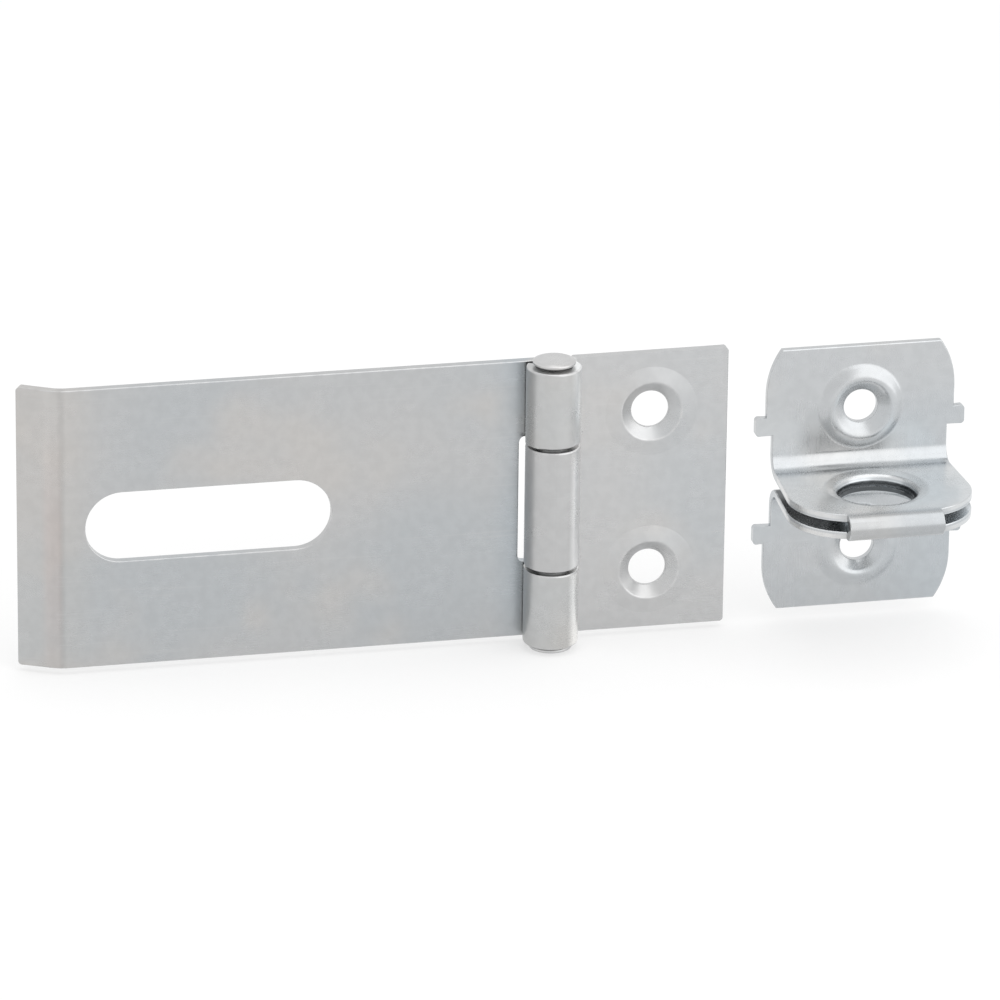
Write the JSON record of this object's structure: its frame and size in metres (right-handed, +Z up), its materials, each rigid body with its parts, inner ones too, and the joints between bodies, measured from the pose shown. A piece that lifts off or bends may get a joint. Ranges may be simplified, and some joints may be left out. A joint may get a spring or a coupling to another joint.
{
  "type": "folding padlock hasp",
  "caption": "Folding hasp and staple in zinc-plated sheet steel: a slotted leaf swings on a pinned hinge and closes over a folded staple that takes a padlock shackle.",
  "frame": {"origin": "on the mounting plane at the back of the fixing leaf, midway between its two screw holes", "axes": "+X from the hinge towards the staple, +Z up along the hinge pin, +Y into the surface that it is screwed to, so that the front faces -Y"},
  "size_m": [0.1475, 0.0275, 0.0472],
  "materials": {
    "leaf_zinc": "satin bright zinc plate",
    "fixing_zinc": "satin bright zinc plate",
    "pin_zinc": "satin bright zinc plate",
    "staple_zinc": "satin bright zinc plate"
  },
  "bodies": {
    "base": {"fixing_leaf": "fixing_zinc", "staple": "staple_zinc"},
    "leaf": {"hasp_leaf": "leaf_zinc", "hinge_pin": "pin_zinc"}
  },
  "joints": [
    {"name": "leaf_swing", "type": "hinge", "parent": "base", "child": "leaf", "pos_m": [-0.016, -0.00425, 0], "axis": [0, 0, 1], "range_deg": [0, 180]}
  ]
}
